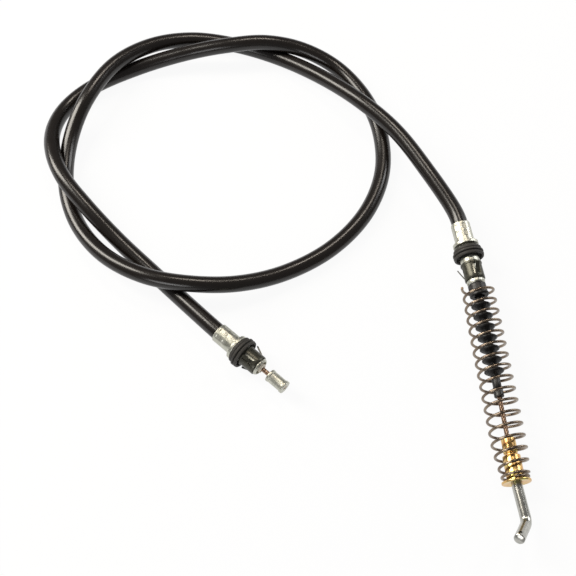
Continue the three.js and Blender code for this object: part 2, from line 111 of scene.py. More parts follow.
# Front fitting.
FRONT_MOUTH = (-31.45, -53.93, 10.8)
FRONT_HEADING = -41.6
FRONT_SEAL_START = 17.1
FRONT_RETAINER_START = 23.2
FRONT_RETAINER_LENGTH = 11.6
FRONT_FIRST_FINGER = 25
FRONT_NOSE_END = 36.9
TIP_END = 38.1
TIP_RADIUS = 3
TIP_BORE = 1.9
TIP_FOOT = 4
TIP_FOOT_LENGTH = 2
BUTTON_START = 43.9
BUTTON_LENGTH = 13.1
BUTTON_RADIUS = 4.0
BUTTON_RIM_RADIUS = 4.3
BUTTON_RIM_LENGTH = 1.6
BUTTON_FLANGE_RADIUS = 4.4
BUTTON_FLANGE_LENGTH = 1.9
BUTTON_STEP_LENGTH = 0.3
BUTTON_WIRE_GAP = 0.1

# Rear fitting.
REAR_MOUTH = (128.69, 23.12, 14.56)
REAR_HEADING = -80.3
REAR_DROP = 1.5
REAR_SEAL_START = 19.1
REAR_RETAINER_START = 29.9
REAR_RETAINER_LENGTH = 12
REAR_FIRST_FINGER = -12
REAR_NOSE_END = 44.9
CAP_LENGTH = 8.4
CAP_RADIUS = 5.9
CAP_LIP_RADIUS = 6.3
CAP_LIP_LENGTH = 1.8
CAP_LIP_STEP = 0.7
CAP_LIP_BEVEL = 0.6
CAP_BORE = 3.5
CAP_PLUG_LENGTH = 5

# The rear wire's own line, whose stations run from where it crosses the fitting's axis.
CROSSING = 46.8
WIRE_HEADING = -84.1
WIRE_DROP = 1.1
WIRE_START = -10.5
STRAND_COUNT = 6  # round the middle one
STRAND_LAY = 13
STRAND_STEP = 0.5

# Rubber boot round the rear wire, inside the spring.
BOOT_START = 1.5
BOOT_FIRST_FOLD = 13.4
BOOT_FOLD_PITCH = 7.54
BOOT_FOLDS = 7
BOOT_FOLD_RADIUS = 6.4
BOOT_NECK_RADIUS = 2.7
BOOT_WALL = 0.8
BOOT_STEPS_PER_FOLD = 20
BOOT_FOLD_SHARPNESS = 1.3
BOOT_CUFF_START = 69
BOOT_CUFF_RADIUS = 3.1
BOOT_CUFF_STEP = 0.5
BOOT_CUFF_BEVEL = 0.3
BOOT_END = 75.7

# Return spring and its seat.
SPRING_WIRE = 0.9
SPRING_START = -0.5
SPRING_START_RADIUS = 9.85
SPRING_RADIUS = 10.3
SPRING_END_RADIUS = 7.85
SPRING_OPEN_TURNS = 16.6
SPRING_CLOSED_TURNS = 1.2
SPRING_CLOSED_PITCH = 2.2
SPRING_FLARE_TURNS = 4
SPRING_START_ANGLE = 180
SPRING_SIDES = 14
SPRING_STEPS_PER_TURN = 40
SEAT_START = 102
SEAT_BEVEL_LENGTH = 0.8
SEAT_BEVEL_DEPTH = 0.6
SEAT_NECK_RADIUS = 4.4
SEAT_NECK_LENGTH = 9.5
SEAT_GROOVE_RADIUS = 3.9
SEAT_GROOVE_LENGTH = 1.8
SEAT_GROOVE_SLOPE = 0.5
SEAT_BODY_RADIUS = 5.5
SEAT_FLANGE_START = 128.6
SEAT_FLANGE_THICKNESS = 1.4
SEAT_FLANGE_RADIUS = 9
SEAT_DISH_MARGIN = 1.2  # of flat rim and foot round the flange's dish
SEAT_DISH_DEPTH = 0.5
SEAT_SOCKET_START = 118
SEAT_SOCKET_GAP = 0.1

# Hook rod.
ROD_RADIUS = 3.3
ROD_START = SEAT_SOCKET_START + 1
ROD_SIDES = 56
ROD_LEAN_START = 133
ROD_LEAN = 1.2
ROD_BEND_STATION = 153.7
ROD_BEND_RADIUS = 7
ROD_BEND_STEPS = 24
PIN_LENGTH = 18.6
PIN_BEVEL = 0.45
PIN_BEVEL_MIDDLE = 0.12  # a point of the rounded bevel, from the pin's end
PIN_BEVEL_MIDDLE_DEPTH = 0.25
PIN_DIRECTION = (-0.434, -0.656, 0.619)
CROSS_HOLE_RADIUS = 1.1
CROSS_HOLE_INSET = 2.8
CROSS_HOLE_SIDES = 32

# The conduit's centreline between the two ferrule mouths, as in the part's source.
ROUTE = [
    (-76.5, -9, 5.8),
    (-101.5, 14.5, 9),
    (-124.5, 38, 15.5),
    (-141.5, 59.5, 18),
    (-151.5, 83.5, 15),
    (-153.5, 105.8, 9.5),
    (-147.1, 126.1, 5.8),
    (-130.5, 143.5, 5.8),
    (-99, 161, 6),
    (-62.5, 170, 12),
    (-30.5, 173, 17.5),
    (-3, 175.5, 17.5),
    (23.5, 173, 12.5),
    (48.6, 161.2, 6.5),
    (68.3, 135.2, 5.8),
    (78.5, 105.5, 5.8),
    (79, 70.5, 5.8),
    (66.5, 37.5, 5.8),
    (42.5, 10, 5.8),
    (11.5, -9.2, 7.5),
    (-20, -19.9, 12.5),
    (-52.5, -22.2, 17.5),
    (-82, -16, 17.5),
    (-111, 3, 12),
    (-132.5, 32.5, 6),
    (-142, 64, 5.8),
    (-140.5, 97.5, 10),
    (-130.5, 125, 17.5),
    (-113, 155.5, 17.5),
    (-88, 177, 12.5),
    (-59, 186.5, 7.5),
    (-27.5, 183, 5.8),
    (4.1, 171.7, 5.8),
    (35.3, 150.5, 11),
    (63.5, 123.8, 17.5),
    (88.2, 97.2, 18),
    (109.9, 62.9, 16.5),
    (125.4, 34, 14.9),
]

# Camera.
CAMERA_PLACE = (13, -309.64, 600)
CAMERA_TILT = 26
CAMERA_LENS = 62.5

# Stage, in metres.
FLOOR_HALF_SIZE = 20
FLOOR_HEIGHT = -0.0001
BACKDROP_GLOW_SHARE = 0.93


def direction(heading, drop):
    """A unit vector from its heading seen from above and how far it points down, in degrees."""
    turn = math.radians(heading)
    dip = math.radians(drop)
    return Vector((math.cos(turn) * math.cos(dip), math.sin(turn) * math.cos(dip), -math.sin(dip)))


def axis_frame(origin, axis):
    """The matrix from millimetres along an axis, with +Y as near to up as it can be, to the row frame."""
    side = Vector((0, 0, 1)).cross(axis).normalized()
    up = axis.cross(side)
    turn = Matrix((side, up, axis)).transposed().to_4x4()
    return Matrix.Scale(MM, 4) @ Matrix.Translation(origin) @ turn


def smoothstep(value, low, high):
    share = min(max((value - low) / (high - low), 0), 1)
    return share * share * (3 - 2 * share)


def mix(a, b, share):
    return a + (b - a) * share


# Materials.

def new_material(slot, color, metallic, roughness):
    """A Principled material for one of the record's slots, and its shader node."""
    material = bpy.data.materials.new(f"{slot}_finish")
    material["slot"] = slot
    material.use_nodes = True
    shader = material.node_tree.nodes["Principled BSDF"]
    shader.inputs["Base Color"].default_value = (*color, 1)
    shader.inputs["Metallic"].default_value = metallic
    shader.inputs["Roughness"].default_value = roughness
    return material, shader


def noise(material, size_mm, detail=4, stretch=(1, 1, 1)):
    """A noise texture with grains of about that size."""
    nodes = material.node_tree.nodes
    links = material.node_tree.links
    place = nodes.new("ShaderNodeTexCoord")
    mapping = nodes.new("ShaderNodeMapping")
    mapping.inputs["Scale"].default_value = stretch
    texture = nodes.new("ShaderNodeTexNoise")
    texture.inputs["Scale"].default_value = 1 / (size_mm * MM)
    texture.inputs["Detail"].default_value = detail
    links.new(place.outputs["Object"], mapping.inputs["Vector"])
    links.new(mapping.outputs["Vector"], texture.inputs["Vector"])
    return texture


def ramp(material, texture, stops):
    """Colours along a texture's value: stops of (value, colour)."""
    node = material.node_tree.nodes.new("ShaderNodeValToRGB")
    elements = node.color_ramp.elements
    while len(elements) < len(stops):
        elements.new(0.5)
    for element, (value, color) in zip(elements, stops):
        element.position = value
        element.color = (*color, 1)
    material.node_tree.links.new(texture.outputs["Fac"], node.inputs["Fac"])
    return node


def vary_color(material, shader, texture, stops):
    node = ramp(material, texture, stops)
    material.node_tree.links.new(node.outputs["Color"], shader.inputs["Base Color"])


def vary_roughness(material, shader, texture, low, high):
    span = material.node_tree.nodes.new("ShaderNodeMapRange")
    span.inputs["From Min"].default_value = 0.3
    span.inputs["From Max"].default_value = 0.7
    span.inputs["To Min"].default_value = low
    span.inputs["To Max"].default_value = high
    material.node_tree.links.new(texture.outputs["Fac"], span.inputs["Value"])
    material.node_tree.links.new(span.outputs["Result"], shader.inputs["Roughness"])


def bump(material, shader, texture, strength, depth_mm):
    node = material.node_tree.nodes.new("ShaderNodeBump")
    node.inputs["Strength"].default_value = strength
    node.inputs["Distance"].default_value = depth_mm * MM
    material.node_tree.links.new(texture.outputs["Fac"], node.inputs["Height"])
    material.node_tree.links.new(node.outputs["Normal"], shader.inputs["Normal"])


def make_jacket_plastic():
    material, shader = new_material("jacket_plastic", (0.0085, 0.0062, 0.005), 0, 0.25)
    vary_roughness(material, shader, noise(material, 9), 0.22, 0.28)
    bump(material, shader, noise(material, 8, detail=0), 0.04, 0.1)
    return material


def make_zinc():
    material, shader = new_material("zinc_steel", (0.6, 0.6, 0.5), 1, 0.35)
    spots = noise(material, 3)
    vary_color(material, shader, spots, [
        (0.3, (0.46, 0.46, 0.39)),
        (0.5, (0.52, 0.52, 0.45)),
        (0.7, (0.6, 0.59, 0.52)),
    ])
    vary_roughness(material, shader, spots, 0.36, 0.42)
    bump(material, shader, noise(material, 2.5, detail=1), 0.15, 0.03)
    return material


def make_rubber(name, color, roughness):
    material, shader = new_material(name, color, 0, roughness)
    vary_roughness(material, shader, noise(material, 1.5), roughness - 0.08, roughness + 0.08)
    bump(material, shader, noise(material, 0.5), 0.2, 0.05)
    return material


def make_phosphate():
    material, shader = new_material("dark_steel", (0.06, 0.058, 0.045), 0.7, 0.45)
    grain = noise(material, 1.2)
    vary_color(material, shader, grain, [(0.3, (0.045, 0.044, 0.034)), (0.7, (0.085, 0.083, 0.064))])
    vary_roughness(material, shader, grain, 0.3, 0.4)
    bump(material, shader, noise(material, 1.5, detail=1), 0.1, 0.03)
    return material


def make_spring_steel():
    material, shader = new_material("spring_steel", (0.34, 0.28, 0.22), 1, 0.3)
    tint = noise(material, 4)
    vary_color(material, shader, tint, [(0.35, (0.17, 0.13, 0.1)), (0.65, (0.3, 0.24, 0.18))])
    vary_roughness(material, shader, tint, 0.24, 0.28)
    return material


def make_yellow_zinc():
    material, shader = new_material("yellow_zinc", (0.85, 0.6, 0.22), 1, 0.24)
    tint = noise(material, 6, detail=2)
    vary_color(material, shader, tint, [
        (0.3, (0.6, 0.3, 0.12)),
        (0.42, (0.7, 0.47, 0.17)),
        (0.52, (0.66, 0.4, 0.17)),
        (0.62, (0.68, 0.56, 0.2)),
        (0.75, (0.56, 0.52, 0.14)),
    ])
    vary_roughness(material, shader, noise(material, 1.5), 0.25, 0.28)
    return material


def make_bright_steel():
    material, shader = new_material("rod_steel", (0.62, 0.61, 0.56), 1, 0.26)
    tint = noise(material, 3)
    vary_color(material, shader, tint, [(0.35, (0.4, 0.4, 0.37)), (0.65, (0.52, 0.51, 0.47))])
    vary_roughness(material, shader, tint, 0.25, 0.28)
    return material


def make_wire_steel():
    material, shader = new_material("wire_steel", (0.33, 0.22, 0.15), 1, 0.38)
    vary_color(material, shader, noise(material, 1.5), [(0.35, (0.24, 0.15, 0.1)), (0.65, (0.42, 0.3, 0.22))])
    return material


def make_plain(name, color, metallic, roughness):
    material, shader = new_material(name, color, metallic, roughness)
    vary_roughness(material, shader, noise(material, 2), roughness - 0.05, roughness + 0.05)
    return material


jacket_plastic = make_jacket_plastic()
zinc_steel = make_zinc()
seal_rubber = make_rubber("seal_rubber", (0.03, 0.027, 0.023), 0.6)
cap_rubber = make_rubber("cap_rubber", (0.005, 0.0045, 0.004), 0.42)
dark_steel = make_phosphate()
spring_steel = make_spring_steel()
yellow_zinc = make_yellow_zinc()
rod_steel = make_bright_steel()
wire_steel = make_wire_steel()
liner_plastic = make_plain("liner_plastic", (0.75, 0.7, 0.6), 0, 0.4)
spiral_steel = make_plain("spiral_steel", (0.55, 0.56, 0.56), 1, 0.4)


# Shapes.

def add_object(name, data, material, node, body):
    """A piece that stands for a CAD node and moves with a CAD body."""
    piece = bpy.data.objects.new(name, data)
    bpy.context.scene.collection.objects.link(piece)
    data.materials.append(material)
    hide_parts(node)
    if body:
        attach(piece, body)
    return piece


def solid_mesh(name, vertices, faces, sharp_angle=40):
    """A closed mesh with outward normals, smooth except at sharp edges."""
    mesh = bpy.data.meshes.new(name)
    mesh.from_pydata(vertices, [], faces)
    shape = bmesh.new()
    shape.from_mesh(mesh)
    bmesh.ops.recalc_face_normals(shape, faces=shape.faces)
    shape.to_mesh(mesh)
    shape.free()
    mesh.polygons.foreach_set("use_smooth", [True] * len(mesh.polygons))
    mesh.set_sharp_from_angle(angle=math.radians(sharp_angle))
    return mesh


def rounded(outline, radius, steps=3):
    """A closed outline of (radius, station) with its corners rounded."""
    points = []
    for index, corner in enumerate(outline):
        corner = Vector(corner)
        before = Vector(outline[index - 1]) - corner
        after = Vector(outline[(index + 1) % len(outline)]) - corner
        angle = before.angle(after)
        reach = min(radius / math.tan(angle / 2), 0.45 * before.length, 0.45 * after.length)
        if angle > math.radians(172):
            points.append(corner)
            continue
        start = corner + before.normalized() * reach
        end = corner + after.normalized() * reach
        for step in range(steps + 1):
            share = step / steps
            inner_start = start.lerp(corner, share)
            inner_end = corner.lerp(end, share)
            points.append(inner_start.lerp(inner_end, share))
    return points


def loft_faces(rings, sides, closed):
    """Quads between rings of vertices, and an end face on each end unless the rings close on themselves."""
    faces = []
    spans = rings if closed else rings - 1
    for ring in range(spans):
        here = ring * sides
        there = ((ring + 1) % rings) * sides
        for side in range(sides):
            following = (side + 1) % sides
            faces.append((here + side, here + following, there + following, there + side))
    if not closed:
        faces.append(tuple(range(sides)))
        faces.append(tuple((rings - 1) * sides + side for side in range(sides)))
    return faces


def lathe(name, place, outline, segments=72, dent=None):
    """A solid of revolution from a closed outline of (radius, station). dent gives how far a point sinks."""
    vertices = []
    for segment in range(segments):
        angle = 2 * math.pi * segment / segments
        for radius, station in outline:
            depth = dent(angle, radius, station) if dent else 0
            reach = radius - depth
            vertices.append(place @ Vector((reach * math.cos(angle), reach * math.sin(angle), station)))
    return solid_mesh(name, vertices, loft_faces(segments, len(outline), closed=True))


def catmull_rom(points, steps):
    """The centripetal curve through the points that three.js draws, with that many steps to a span."""
    ends = [2 * points[0] - points[1], *points, 2 * points[-1] - points[-2]]
    line = []
    for before, here, there, beyond in zip(ends, ends[1:], ends[2:], ends[3:]):
        first = (here - before).length ** 0.5
        middle = (there - here).length ** 0.5
        last = (beyond - there).length ** 0.5
        leave = (here - before) / first - (there - before) / (first + middle) + (there - here) / middle
        arrive = (there - here) / middle - (beyond - here) / (middle + last) + (beyond - there) / last
        leave = leave * middle
        arrive = arrive * middle
        for step in range(steps):
            t = step / steps
            square = -3 * here + 3 * there - 2 * leave - arrive
            cube = 2 * here - 2 * there + leave + arrive
            line.append(here + leave * t + square * t * t + cube * t * t * t)
    line.append(points[-1])
    return line


def curve_data(name, lines, radius, resolution):
    """Round bars along lines of points in the row frame, as one curve."""
    data = bpy.data.curves.new(name, "CURVE")
    data.dimensions = "3D"
    data.bevel_depth = radius * MM
    data.bevel_resolution = resolution
    data.use_fill_caps = True
    for line in lines:
        spline = data.splines.new("POLY")
        spline.points.add(len(line) - 1)
        for point, place in zip(spline.points, line):
            point.co = (*place, 1)
        spline.use_smooth = True
    return data


# Places.
front_axis = direction(FRONT_HEADING, 0)
rear_axis = direction(REAR_HEADING, REAR_DROP)
wire_axis = direction(WIRE_HEADING, WIRE_DROP)
front_mouth = Vector(FRONT_MOUTH)
rear_mouth = Vector(REAR_MOUTH)
crossing = rear_mouth + rear_axis * CROSSING
front = axis_frame(front_mouth, front_axis)
rear = axis_frame(rear_mouth, rear_axis)
hook_end = axis_frame(crossing, wire_axis)


# Conduit.

def make_jacket():
    """The plastic jacket from inside one ferrule to inside the other."""
    stops = [
        front_mouth + front_axis * ENGAGEMENT,
        front_mouth,
        *[Vector(point) for point in ROUTE],
        rear_mouth,
        rear_mouth + rear_axis * ENGAGEMENT,
    ]
    line = [point * MM for point in catmull_rom(stops, ROUTE_STEPS)]
    data = curve_data("jacket", [line], JACKET_RADIUS, 12)
    return add_object("jacket", data, jacket_plastic, "conduit_jacket", "conduit")


# Fittings.

def crimp_dent(angle, radius, station):
    """Two rows of shallow dents that the crimping jaws leave in the ferrule's outer wall."""
    on_wall = radius >= FERRULE_RADIUS - FERRULE_EDGE / 2 and station <= FLANGE_START - CRIMP_SLOPE
    if not on_wall:
        return 0
    around = max(0, math.cos(CRIMP_JAWS * angle + CRIMP_TURN)) ** 0.5
    depth = 0
    for start, end in CRIMP_ROWS:
        rise = smoothstep(station, start, start + CRIMP_SLOPE)
        depth += CRIMP_DEPTH * around * rise * (1 - smoothstep(station, end - CRIMP_SLOPE, end))
    return depth


def make_ferrule(name, place, node, collar_start, collar_end, lip_start, nose_end):
    wall_steps = int(FLANGE_START / FERRULE_WALL_STEP)
    wall = [(FERRULE_RADIUS, FERRULE_WALL_STEP * step) for step in range(1, wall_steps)]
    ends = rounded([
        (FERRULE_RADIUS, FLANGE_START),
        (FLANGE_RADIUS, FLANGE_START),
        (FLANGE_RADIUS, FLANGE_END),
        (NOSE_RADIUS, FLANGE_END),
        (NOSE_RADIUS, collar_start),
        (COLLAR_RADIUS, collar_start),
        (COLLAR_RADIUS, collar_end),
        (NOSE_RADIUS, collar_end),
        (NOSE_RADIUS, lip_start),
        (LIP_RADIUS, lip_start),
        (LIP_RADIUS, nose_end - LIP_BEVEL_LENGTH),
        (LIP_RADIUS - LIP_BEVEL_DEPTH, nose_end),
        (NOSE_BORE, nose_end),
        (NOSE_BORE, FERRULE_BORE_END),
        (FERRULE_BORE, FERRULE_BORE_END),
        (FERRULE_BORE, 0),
        (FERRULE_RADIUS - FERRULE_EDGE, 0),
    ], 0.3)
    mesh = lathe(name, place, wall + ends, segments=128, dent=crimp_dent)
    return add_object(name, mesh, zinc_steel, node, "conduit")


def make_seal(name, place, node, start):
    """The rubber seal: three ribs, two grooves and a cup-shaped mouth."""
    end = start + SEAL_LENGTH
    mouth = end - SEAL_MOUTH_DEPTH
    groove = SEAL_RADIUS - SEAL_GROOVE_DEPTH
    corners = [(SEAL_BORE, start)]
    for rib, radius in enumerate([SEAL_RADIUS - SEAL_FIRST_RIB_DROP, SEAL_RADIUS]):
        foot = start + rib * SEAL_RIB_PITCH
        crest = foot + SEAL_RIB_SLOPE
        corners += [(groove, foot), (radius, crest), (radius, crest + SEAL_RIB_WIDTH)]
        corners.append((groove, crest + SEAL_RIB_WIDTH + SEAL_RIB_SLOPE))
    last_rib = start + 2 * SEAL_RIB_PITCH
    corners += [
        (groove, last_rib),
        (SEAL_RADIUS, last_rib + SEAL_RIB_SLOPE),
        (SEAL_RADIUS - SEAL_LIP_BEVEL, end),
        (SEAL_RADIUS - SEAL_LIP_WALL, end),
        (SEAL_RADIUS - SEAL_MOUTH_WALL, mouth),
        (SEAL_BORE, mouth),
    ]
    outline = rounded(corners, 0.35)
    return add_object(name, lathe(name, place, outline), seal_rubber, node, "conduit")


def retainer_tube(place, start, length, first_angle):
    """Vertices and faces of the retainer's tube, with the windows that its fingers are cut from."""
    end = start + length
    hinge = end - FINGER_HINGE
    window_start = hinge - FINGER_LENGTH * math.cos(math.radians(FINGER_ANGLE)) - WINDOW_END_ROOM
    columns = RETAINER_COLUMNS
    rim_end = start + RETAINER_RIM_LENGTH
    stations = [start, rim_end, rim_end + RETAINER_RIM]
    stations += [window_start, window_start + WINDOW_CORNER, hinge - WINDOW_CORNER, hinge]
    stations += [end - RETAINER_EDGE_LENGTH, end]
    half_window = math.degrees(WINDOW_WIDTH / 2 / RETAINER_RADIUS)
    shape = bmesh.new()
    skins = []
    for wall in (0, RETAINER_WALL):
        grid = []
        for column in range(columns):
            angle = 2 * math.pi * column / columns
            row = []
            for station in stations:
                swell = RETAINER_RIM * (1 - smoothstep(station, rim_end, rim_end + RETAINER_RIM))
                radius = RETAINER_RADIUS + swell - wall
                if station == end and wall == 0:
                    radius -= RETAINER_EDGE_DEPTH
                spot = Vector((radius * math.cos(angle), radius * math.sin(angle), station))
                row.append(shape.verts.new(place @ spot))
            grid.append(row)
        skins.append(grid)

    def in_window(column, row):
        step = 360 / FINGER_COUNT
        degrees = 360 * (column + 0.5) / columns - 90 - first_angle
        degrees = (degrees + step / 2) % step - step / 2
        inside = window_start - 0.01 < stations[row] and stations[row + 1] < hinge + 0.01
        return inside and abs(degrees) < half_window

    rows = len(stations) - 1
    for column in range(columns):
        beside = (column + 1) % columns
        for row in range(rows):
            if in_window(column, row):
                continue
            for grid in skins:
                left, right = grid[column], grid[beside]
                shape.faces.new((left[row], right[row], right[row + 1], left[row + 1]))
            outer, inner = skins
            borders = [
                (row == 0 or in_window(column, row - 1), (column, row), (beside, row)),
                (row == rows - 1 or in_window(column, row + 1), (column, row + 1), (beside, row + 1)),
                (in_window((column - 1) % columns, row), (column, row), (column, row + 1)),
                (in_window(beside, row), (beside, row), (beside, row + 1)),
            ]
            for open_side, a, b in borders:
                if open_side:
                    outer_edge = (outer[a[0]][a[1]], outer[b[0]][b[1]])
                    inner_edge = (inner[b[0]][b[1]], inner[a[0]][a[1]])
                    shape.faces.new(outer_edge + inner_edge)
    return shape


def add_finger(shape, place, hinge, angle):
    """One spring finger: a strip that leaves the tube at its hinge, curves out and ends in a rounded tip."""
    tilt = math.radians(FINGER_ANGLE)
    turn = math.radians(angle)
    out = Vector((-math.sin(turn), math.cos(turn), 0))
    side = Vector((math.cos(turn), math.sin(turn), 0))
    rings = []
    for step in range(FINGER_STEPS + 1):
        along = mix(-FINGER_ROOT, FINGER_LENGTH, step / FINGER_STEPS)
        rise = RETAINER_RADIUS - FINGER_THICKNESS / 2 - FINGER_SINK
        rise += max(0, along) * math.sin(tilt) * smoothstep(along, -1.5, 2.5)
        spot = out * rise + Vector((0, 0, hinge - along * math.cos(tilt)))
        tip = max(0, along - (FINGER_LENGTH - FINGER_WIDTH / 2)) / (FINGER_WIDTH / 2)
        half = side * FINGER_WIDTH / 2 * math.sqrt(max(0.2, 1 - 0.75 * tip * tip))
        up = (out * math.cos(tilt) + Vector((0, 0, math.sin(tilt)))) * FINGER_THICKNESS / 2
        corners = [spot - half - up, spot + half - up, spot + half + up, spot - half + up]
        rings.append([shape.verts.new(place @ corner) for corner in corners])
    for here, there in zip(rings, rings[1:]):
        for side_index in range(4):
            following = (side_index + 1) % 4
            shape.faces.new((here[side_index], here[following], there[following], there[side_index]))
    shape.faces.new(rings[0])
    shape.faces.new(rings[-1])


def make_retainer(name, place, node, start, length, first_angle):
    shape = retainer_tube(place, start, length, first_angle)
    hinge = start + length - FINGER_HINGE
    for finger in range(FINGER_COUNT):
        add_finger(shape, place, hinge, first_angle + 360 * finger / FINGER_COUNT)
    bmesh.ops.recalc_face_normals(shape, faces=shape.faces)
    mesh = bpy.data.meshes.new(name)
    shape.to_mesh(mesh)
    shape.free()
    mesh.polygons.foreach_set("use_smooth", [True] * len(mesh.polygons))
    mesh.set_sharp_from_angle(angle=math.radians(40))
    return add_object(name, mesh, dark_steel, node, "conduit")


def make_liner_tip():
    foot = FRONT_NOSE_END - TIP_FOOT
    foot_end = foot + TIP_FOOT_LENGTH
    outline = rounded([
        (TIP_BORE, foot),
        (NOSE_BORE - GAP, foot),
        (NOSE_BORE - GAP, foot_end),
        (TIP_RADIUS, foot_end),
        (TIP_RADIUS, TIP_END),
        (TIP_BORE, TIP_END),
    ], 0.3)
    mesh = lathe("liner_tip", front, outline, segments=48)
    return add_object("liner_tip", mesh, liner_plastic, "front_liner_tip", "conduit")


def make_cap():
    start = REAR_NOSE_END + GAP
    end = start + CAP_LENGTH
    lip = end - CAP_LIP_LENGTH
    outline = rounded([
        (CAP_BORE, start - CAP_PLUG_LENGTH),
        (NOSE_BORE - GAP, start - CAP_PLUG_LENGTH),
        (NOSE_BORE - GAP, start),
        (CAP_RADIUS, start),
        (CAP_RADIUS, lip - CAP_LIP_STEP),
        (CAP_LIP_RADIUS, lip),
        (CAP_LIP_RADIUS, end - CAP_LIP_BEVEL),
        (CAP_LIP_RADIUS - CAP_LIP_BEVEL, end),
        (CAP_BORE, end),
    ], 0.4)
    return add_object("cap", lathe("cap", rear, outline), cap_rubber, "rear_cap", "conduit")


def make_strands(name, place, start, end, node, body):
    """A wire laid from six strands round a seventh."""
    strand_radius = WIRE_RADIUS / 3
    lines = [[place @ Vector((0, 0, start)), place @ Vector((0, 0, end))]]
    steps = int((end - start) / STRAND_STEP)
    for strand in range(STRAND_COUNT):
        line = []
        for step in range(steps + 1):
            station = mix(start, end, step / steps)
            angle = 2 * math.pi * (strand / STRAND_COUNT + station / STRAND_LAY)
            reach = 2 * strand_radius
            line.append(place @ Vector((reach * math.cos(angle), reach * math.sin(angle), station)))
        lines.append(line)
    data = curve_data(name, lines, strand_radius, 3)
    return add_object(name, data, wire_steel, node, body)


def make_button():
    end = BUTTON_START + BUTTON_LENGTH
    bore = WIRE_RADIUS + BUTTON_WIRE_GAP
    rim_end = BUTTON_START + BUTTON_RIM_LENGTH
    flange = end - BUTTON_FLANGE_LENGTH
    outline = rounded([
        (bore, BUTTON_START),
        (BUTTON_RIM_RADIUS, BUTTON_START),
        (BUTTON_RIM_RADIUS, rim_end),
        (BUTTON_RADIUS, rim_end + BUTTON_STEP_LENGTH),
        (BUTTON_RADIUS, flange - BUTTON_STEP_LENGTH),
        (BUTTON_FLANGE_RADIUS, flange),
        (BUTTON_FLANGE_RADIUS, end),
        (bore, end),
    ], 0.3)
    mesh = lathe("button", front, outline)
    return add_object("button", mesh, zinc_steel, "wire_button", "button_end")


# What the wire pulls at the rear.

def make_boot():
    """The rubber boot: a neck in the cap, rounded folds, and a cuff that grips the wire."""
    folds_end = BOOT_FIRST_FOLD + (BOOT_FOLDS - 0.5) * BOOT_FOLD_PITCH
    outside = []
    station = BOOT_START
    while station < folds_end:
        phase = 2 * math.pi * (station - BOOT_FIRST_FOLD) / BOOT_FOLD_PITCH
        swell = ((1 + math.cos(phase)) / 2) ** BOOT_FOLD_SHARPNESS
        if station < BOOT_FIRST_FOLD - BOOT_FOLD_PITCH / 2:
            swell = 0
        outside.append((mix(BOOT_NECK_RADIUS, BOOT_FOLD_RADIUS, swell), station))
        station += BOOT_FOLD_PITCH / BOOT_STEPS_PER_FOLD
    outside.append((BOOT_NECK_RADIUS, BOOT_CUFF_START))
    inside = [(radius - BOOT_WALL, station) for radius, station in reversed(outside)]
    cuff = [
        (BOOT_CUFF_RADIUS, BOOT_CUFF_START + BOOT_CUFF_STEP),
        (BOOT_CUFF_RADIUS, BOOT_END - BOOT_CUFF_BEVEL),
        (BOOT_CUFF_RADIUS - BOOT_CUFF_BEVEL, BOOT_END),
        (BOOT_NECK_RADIUS - BOOT_WALL, BOOT_END),
    ]
    mesh = lathe("boot", hook_end, outside + cuff + inside, segments=48)
    piece = add_object("boot", mesh, cap_rubber, "wire_boot", None)
    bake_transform(piece)
    return piece


def spring_centre(turn):
    """A point of the spring's centreline, in millimetres along the wire."""
    turns = SPRING_OPEN_TURNS + SPRING_CLOSED_TURNS
    end = SEAT_FLANGE_START - GAP - SPRING_WIRE
    open_length = end - SPRING_START - SPRING_CLOSED_TURNS * SPRING_CLOSED_PITCH
    station = SPRING_START + open_length * min(turn, SPRING_OPEN_TURNS) / SPRING_OPEN_TURNS
    station += max(0, turn - SPRING_OPEN_TURNS) * SPRING_CLOSED_PITCH
    wide = mix(SPRING_START_RADIUS, SPRING_RADIUS, smoothstep(turn, 0, SPRING_FLARE_TURNS))
    radius = mix(wide, SPRING_END_RADIUS, smoothstep(turn, turns - SPRING_FLARE_TURNS, turns))
    angle = math.radians(SPRING_START_ANGLE) + 2 * math.pi * turn
    return Vector((radius * math.cos(angle), radius * math.sin(angle), station))


def make_spring():
    turns = SPRING_OPEN_TURNS + SPRING_CLOSED_TURNS
    rings = int(turns * SPRING_STEPS_PER_TURN) + 1
    vertices = []
    for ring in range(rings):
        turn = turns * ring / (rings - 1)
        centre = spring_centre(turn)
        along = (spring_centre(turn + 0.01) - spring_centre(turn - 0.01)).normalized()
        outward = Vector((centre.x, centre.y, 0)).normalized()
        across = along.cross(outward).normalized()
        outward = across.cross(along)
        for side in range(SPRING_SIDES):
            angle = 2 * math.pi * side / SPRING_SIDES
            spot = centre + (outward * math.cos(angle) + across * math.sin(angle)) * SPRING_WIRE
            vertices.append(hook_end @ spot)
    mesh = solid_mesh("spring", vertices, loft_faces(rings, SPRING_SIDES, closed=False), sharp_angle=60)
    piece = add_object("spring", mesh, spring_steel, "return_spring", None)
    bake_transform(piece)
    return piece


